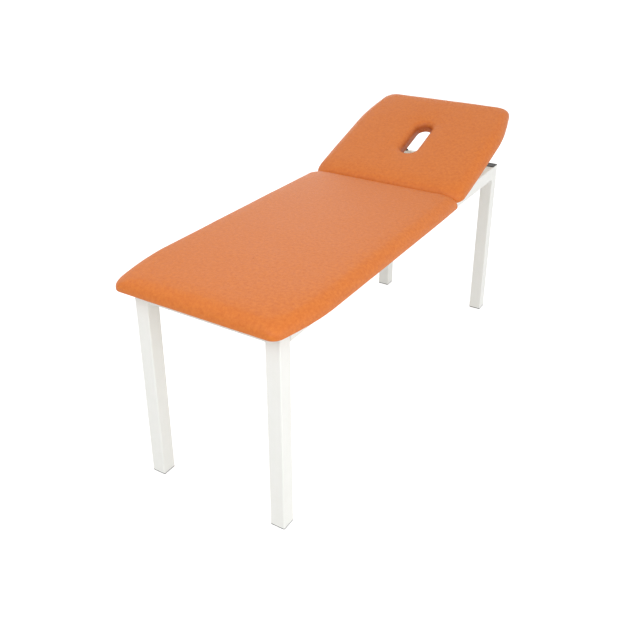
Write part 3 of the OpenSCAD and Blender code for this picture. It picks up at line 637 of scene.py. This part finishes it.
class Nodes:
    """Shorthand for a material's node tree."""

    def __init__(self, name, **settings):
        self.mat = bpy.data.materials.new(name)
        self.mat.use_nodes = True
        self.tree = self.mat.node_tree
        self.shader = self.tree.nodes["Principled BSDF"]
        for key, value in settings.items():
            self.shader.inputs[key.replace("_", " ")].default_value = value
        self.place = self.tree.nodes.new("ShaderNodeTexCoord").outputs["Object"]

    def add(self, kind, out=0, **inputs):
        """Adds a node and gives its output.

        Keys are names of its settings or inputs, or i and the number of an input.
        """
        node = self.tree.nodes.new("ShaderNode" + kind)
        for key, value in inputs.items():
            if hasattr(node, key) and not isinstance(value, bpy.types.NodeSocket):
                setattr(node, key, value)
                continue
            name = key.replace("_", " ")
            socket = node.inputs[int(key[1:]) if key[0] == "i" and key[1:].isdigit() else name]
            if isinstance(value, bpy.types.NodeSocket):
                self.tree.links.new(value, socket)
            else:
                socket.default_value = value
        return node.outputs[out]

    def math(self, operation, a, b):
        return self.add("Math", operation=operation, i0=a, i1=b)

    def noise(self, scale, detail=3.0, rough=0.5, place=None, warp=0.0):
        """Noise from 0 to 1, in the object's own place if no other is given."""
        return self.add("TexNoise", Vector=place or self.place, Scale=scale, Detail=detail, Roughness=rough,
                        Distortion=warp)

    def stretched(self, x, y, z):
        """The object's own place, multiplied."""
        return self.add("Mapping", Vector=self.place, Scale=(x, y, z))

    def span(self, value, low, high):
        """Takes a value from 0..1 to low..high."""
        return self.add("MapRange", i0=value, i3=low, i4=high)

    def mix(self, factor, a, b):
        """Colour between a and b, which are colours or outputs."""
        node = self.tree.nodes.new("ShaderNodeMix")
        node.data_type = "RGBA"
        for socket, value in ((node.inputs[0], factor), (node.inputs[6], a), (node.inputs[7], b)):
            if isinstance(value, bpy.types.NodeSocket):
                self.tree.links.new(value, socket)
            else:
                socket.default_value = value
        return node.outputs[2]

    def link(self, socket, name):
        """Links an output to an input of the shader."""
        self.tree.links.new(socket, self.shader.inputs[name])

    def bump(self, height, distance, strength):
        return self.add("Bump", Height=height, Distance=distance, Strength=strength)


def leatherette():
    """Orange leatherette with a fine creased grain, and painted shade in its own hollows such as the face slot."""
    m = Nodes("leatherette", Roughness=0.5, IOR=1.42, Specular_IOR_Level=0.62)
    shift = m.add("TexNoise", out=1, Vector=m.place, Scale=420.0)
    warp = m.add("VectorMath", operation="SCALE", Vector=shift, Scale=0.0012)
    place = m.add("VectorMath", operation="ADD", i0=m.place, i1=warp)
    cells = m.add("TexVoronoi", Vector=place, feature="DISTANCE_TO_EDGE", Scale=620.0)
    crease = m.add("MapRange", i0=cells, i1=0.0, i2=0.22, i3=0.0, i4=1.0)
    fine = m.noise(2600.0, 2.0)
    height = m.math("ADD", crease, m.math("MULTIPLY", fine, 0.35))
    m.link(m.bump(height, 0.00012, 0.8), "Normal")
    base, deep, pale = linear(205, 106, 27), linear(189, 88, 18), linear(220, 126, 41)
    cloud = m.noise(95.0, 4.0, 0.6)
    tone = m.mix(m.add("MapRange", i0=cloud, i1=0.3, i2=0.7, i3=0.0, i4=1.0), base, pale)
    tone = m.mix(m.span(crease, 0.35, 0.0), tone, deep)
    # Painted shade: where the cover is hemmed in by itself, as on the walls of the face slot, ambient occlusion
    # mixes its colour towards a dark, deep orange
    painted_slot_shade = m.add("AmbientOcclusion", out=1, samples=8, only_local=True, Distance=0.12)
    tone = m.mix(m.add("MapRange", i0=painted_slot_shade, i1=0.45, i2=0.95, i3=0.0, i4=1.0), linear(132, 42, 6), tone)
    m.link(tone, "Base Color")
    m.link(m.span(m.noise(60.0, 3.0), 0.42, 0.54), "Roughness")
    return m.mat


def powder_coat():
    """White powder coat with a light orange peel."""
    m = Nodes("powder_coat", Roughness=0.35, IOR=1.5, Specular_IOR_Level=0.4)
    peel = m.noise(900.0, 2.0, 0.4)
    broad = m.noise(210.0, 2.0, 0.5)
    m.link(m.bump(m.math("ADD", peel, m.math("MULTIPLY", broad, 0.8)), 0.00004, 0.6), "Normal")
    m.link(m.mix(m.noise(25.0, 3.0), linear(238, 239, 233), linear(243, 243, 240)), "Base Color")
    m.link(m.span(m.noise(140.0, 3.0), 0.30, 0.42), "Roughness")
    return m.mat


def moulded(name, dark, light, rough):
    """Matt moulded plastic or rubber."""
    m = Nodes(name, Roughness=rough, IOR=1.5)
    m.link(m.bump(m.noise(3200.0, 2.0, 0.6), 0.00005, 0.6), "Normal")
    m.link(m.mix(m.noise(180.0, 4.0), dark, light), "Base Color")
    m.link(m.span(m.noise(90.0, 3.0), rough - 0.06, rough + 0.08), "Roughness")
    return m.mat


def plywood():
    """Plywood with its grain along Y."""
    m = Nodes("plywood", Roughness=0.72, IOR=1.45)
    grain_place = m.stretched(34.0, 1.6, 30.0)
    grain = m.noise(5.0, 6.0, 0.62, grain_place, 0.8)
    pore = m.noise(24.0, 4.0, 0.7, m.stretched(60.0, 2.0, 60.0))
    tone = m.mix(grain, linear(206, 170, 122), linear(232, 206, 164))
    tone = m.mix(m.add("MapRange", i0=pore, i1=0.52, i2=0.72, i3=0.0, i4=0.5), tone, linear(150, 108, 66))
    m.link(tone, "Base Color")
    m.link(m.bump(m.math("ADD", grain, pore), 0.00018, 0.5), "Normal")
    return m.mat


def steel(name, dark, light, rough, lines=None):
    """Steel with faint blotches, and with streaks if it is given the stretch of lines."""
    m = Nodes(name, Metallic=1.0, Roughness=rough)
    blotch = m.noise(260.0, 3.0, 0.6)
    m.link(m.mix(blotch, dark, light), "Base Color")
    place = m.stretched(*lines) if lines else m.place
    streak = m.noise(900.0, 3.0, 0.6, place)
    worn = m.math("MULTIPLY", m.math("ADD", blotch, streak), 0.5)
    m.link(m.span(worn, rough - 0.08, rough + 0.12), "Roughness")
    m.link(m.bump(streak, 0.00003, 0.5), "Normal")
    return m.mat


def foam():
    """Pale foam."""
    m = Nodes("foam", Roughness=0.95)
    m.link(m.mix(m.noise(700.0, 4.0), linear(232, 220, 176), linear(244, 236, 200)), "Base Color")
    m.link(m.bump(m.noise(1500.0, 3.0), 0.0003, 0.7), "Normal")
    return m.mat


MATERIALS = {
    "leatherette": leatherette(),
    "frame_white": powder_coat(),
    "black_plastic": moulded("black_plastic", linear(30, 31, 31), linear(44, 46, 45), 0.48),
    "knob_plastic": moulded("knob_plastic", linear(24, 24, 26), linear(36, 36, 38), 0.38),
    "rubber": moulded("rubber", linear(28, 28, 28), linear(40, 40, 39), 0.80),
    "plywood": plywood(),
    "zinc_steel": steel("zinc_steel", linear(176, 180, 184), linear(206, 209, 212), 0.34, (1, 0.12, 1)),
    "bright_steel": steel("bright_steel", linear(196, 198, 200), linear(216, 217, 218), 0.16, (1, 0.2, 0.2)),
    "yellow_zinc": steel("yellow_zinc", linear(190, 164, 96), linear(214, 192, 128), 0.34),
    "block_steel": steel("block_steel", linear(150, 153, 157), linear(172, 175, 178), 0.42),
    "dark_steel": steel("dark_steel", linear(52, 52, 54), linear(70, 70, 73), 0.38),
    "foam": foam(),
}
slot_of = {s["node"]: s["material_slot"] for s in frame["record"]["subparts"]}
for name, obj in frame["nodes"].items():
    obj.data.materials.clear()
    obj.data.materials.append(MATERIALS[slot_of[name]])

for obj, slot, body in (
        (body_cushion, "leatherette", "frame"),
        (headrest_cushion, "leatherette", "headrest"),
        (body_staples, "zinc_steel", "frame"),
        (headrest_staples, "zinc_steel", "headrest"),
        (weld_beads, "frame_white", "frame")):
    obj.data.materials.append(MATERIALS[slot])
    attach(obj, body)
weld_beads.data.shade_smooth()
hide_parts("body_foam", "body_cover")
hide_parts("headrest_foam", "headrest_cover")

# Floor, lights and camera
def camera_or_glossy(tree, other, seen):
    """Shader that is seen by camera and glossy rays, with another one for all other rays."""
    path = tree.nodes.new("ShaderNodeLightPath")
    either = tree.nodes.new("ShaderNodeMath")
    either.operation = "MAXIMUM"
    pick = tree.nodes.new("ShaderNodeMixShader")
    tree.links.new(path.outputs["Is Camera Ray"], either.inputs[0])
    tree.links.new(path.outputs["Is Glossy Ray"], either.inputs[1])
    tree.links.new(either.outputs[0], pick.inputs[0])
    tree.links.new(other.outputs[0], pick.inputs[1])
    tree.links.new(seen.outputs[0], pick.inputs[2])
    return pick.outputs[0]


bpy.ops.mesh.primitive_plane_add(size=40, location=(0, 0, -0.0002))
floor = bpy.context.object
floor.name = "floor"
floor_mat = bpy.data.materials.new("floor")
floor_mat.use_nodes = True
tree = floor_mat.node_tree
matt = tree.nodes["Principled BSDF"]
matt.inputs["Base Color"].default_value = (0.70, 0.70, 0.70, 1)
matt.inputs["Roughness"].default_value = 0.9
matt.inputs["Specular IOR Level"].default_value = 0.0
glow = tree.nodes.new("ShaderNodeEmission")
glow.inputs["Strength"].default_value = 0.64
glowing = tree.nodes.new("ShaderNodeAddShader")
tree.links.new(matt.outputs[0], glowing.inputs[0])
tree.links.new(glow.outputs[0], glowing.inputs[1])
tree.links.new(camera_or_glossy(tree, matt, glowing), tree.nodes["Material Output"].inputs["Surface"])
floor.data.materials.append(floor_mat)

world = bpy.data.worlds.new("studio")
scene.world = world
world.use_nodes = True
tree = world.node_tree
light = tree.nodes["Background"]
light.inputs["Color"].default_value = (1, 1, 1, 1)
light.inputs["Strength"].default_value = 0.78
white = tree.nodes.new("ShaderNodeBackground")
white.inputs["Color"].default_value = (1, 1, 1, 1)
white.inputs["Strength"].default_value = 1.0
tree.links.new(camera_or_glossy(tree, light, white), tree.nodes["World Output"].inputs["Surface"])


def aim(obj, place, target):
    """Puts a lamp or camera in a place, turned to a target."""
    obj.location = place
    obj.rotation_euler = (Vector(target) - Vector(place)).to_track_quat("-Z", "Y").to_euler()


def lamp(name, place, target, size, power):
    """Area lamp of a size in metres and a power in watts."""
    data = bpy.data.lights.new(name, "AREA")
    data.shape = "RECTANGLE"
    data.size, data.size_y = size
    data.energy = power
    aim(add_object(name, data), place, target)


# Lamps' powers, and the glow of floor and world, are fitted to the photo's colours
lamp("top", (0.2, -0.7, 2.9), (0.1, -0.6, 0), (1.8, 1.8), 3)
lamp("front", (0.6, -2.8, 2.6), (0, -0.2, 0.6), (1.6, 1.4), 28)
lamp("side", (3.2, -0.8, 1.2), (0, 0, 0.6), (1.8, 1.6), 23)
lamp("side_high", (2.6, -0.4, 2.6), (0, 0, 0.6), (1.8, 1.6), 5)
lamp("left", (-2.6, -0.4, 2.6), (0, 0, 0.6), (1.8, 1.6), 4)
lamp("back_left", (-2.1, 3.25, 1.55), (0, -0.2, 0.7), (2.5, 1.3), 10.5)

# The camera's angles, place, focal length and shift come from the fit to the photo's edges
azimuth, elevation = math.radians(31.588), math.radians(24.661)
away = Vector((math.sin(azimuth) * math.cos(elevation), -math.cos(azimuth) * math.cos(elevation),
               math.sin(elevation)))
place = Vector((1.2895, -2.5948 + HINGE[1], 1.7462))
data = bpy.data.cameras.new("camera")
data.sensor_width = 36
data.lens = 44.681
data.shift_x = -0.0068
data.shift_y = -0.0922
camera = add_object("camera", data)
aim(camera, place, place - away)
scene.camera = camera
scene.view_settings.view_transform = "Standard"
